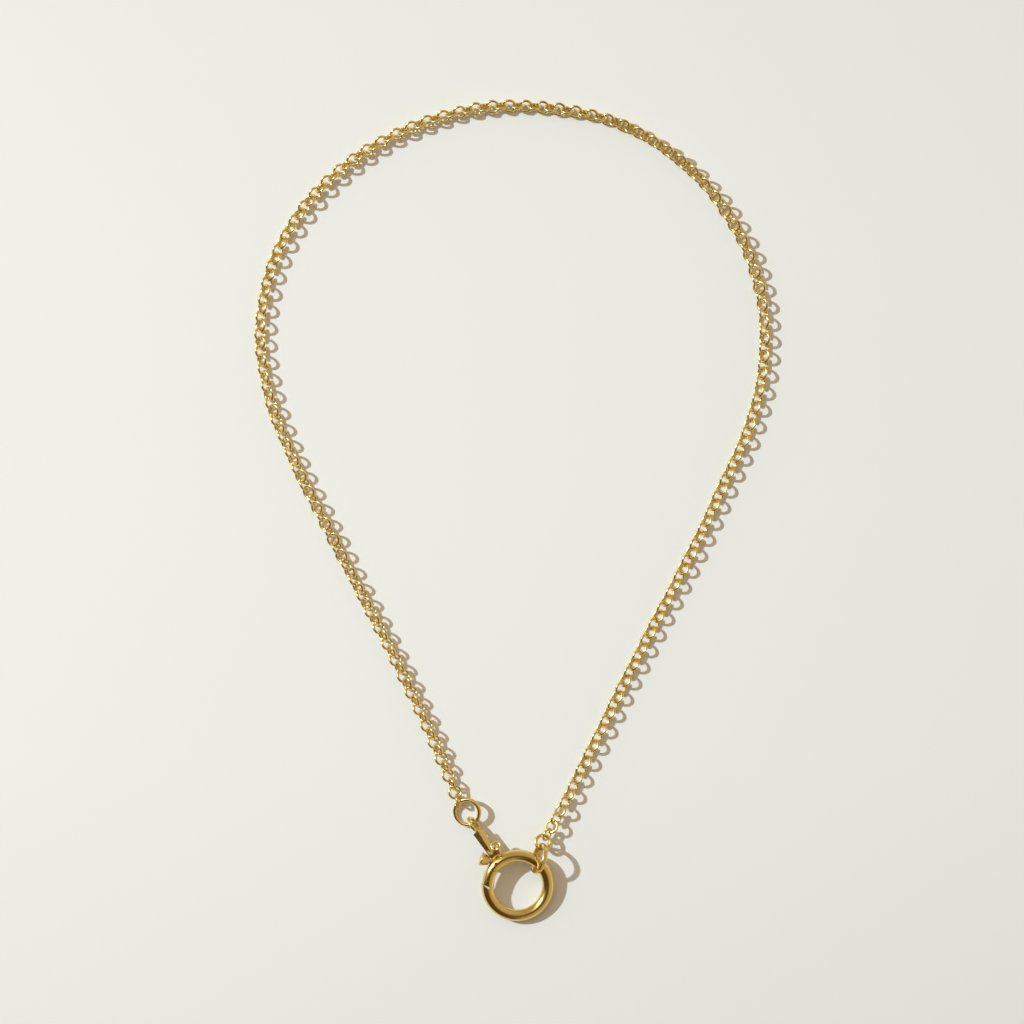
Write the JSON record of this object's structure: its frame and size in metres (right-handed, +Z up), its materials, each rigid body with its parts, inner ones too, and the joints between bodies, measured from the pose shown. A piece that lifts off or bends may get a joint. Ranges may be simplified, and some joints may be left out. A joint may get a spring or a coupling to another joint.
{
  "type": "rolo chain necklace",
  "caption": "Necklace of round interlocked links, closed by a round trigger clasp with jump rings and a tapered connector, laid open on a surface.",
  "frame": {"origin": "centre of the laid-out necklace's plan box, on the surface it lies on", "axes": "+Z up from the surface, +Y from the clasp to the middle of the chain, +X to the right seen from above"},
  "size_m": [0.1208, 0.1923, 0.0073],
  "materials": {
    "chain_gold": "polished gold plating",
    "ring_gold": "polished gold plating",
    "clasp_gold": "mirror polished gold plating"
  },
  "bodies": {
    "necklace": {"chain": "chain_gold", "end_link": "chain_gold", "jump_ring_left": "ring_gold", "jump_ring_right": "ring_gold", "connector_link": "ring_gold", "clasp_body": "clasp_gold", "clasp_pin": "clasp_gold"},
    "gate": {"clasp_gate": "clasp_gold"}
  },
  "joints": [
    {"name": "gate_hinge", "type": "hinge", "parent": "necklace", "child": "gate", "pos_m": [-0.00388, -0.08233, 0.00385], "axis": [0.0815, -0.1533, 0.9848], "range_deg": [0, 24], "stiffness_Nm_per_rad": 0.005, "springref_deg": -20.05}
  ]
}
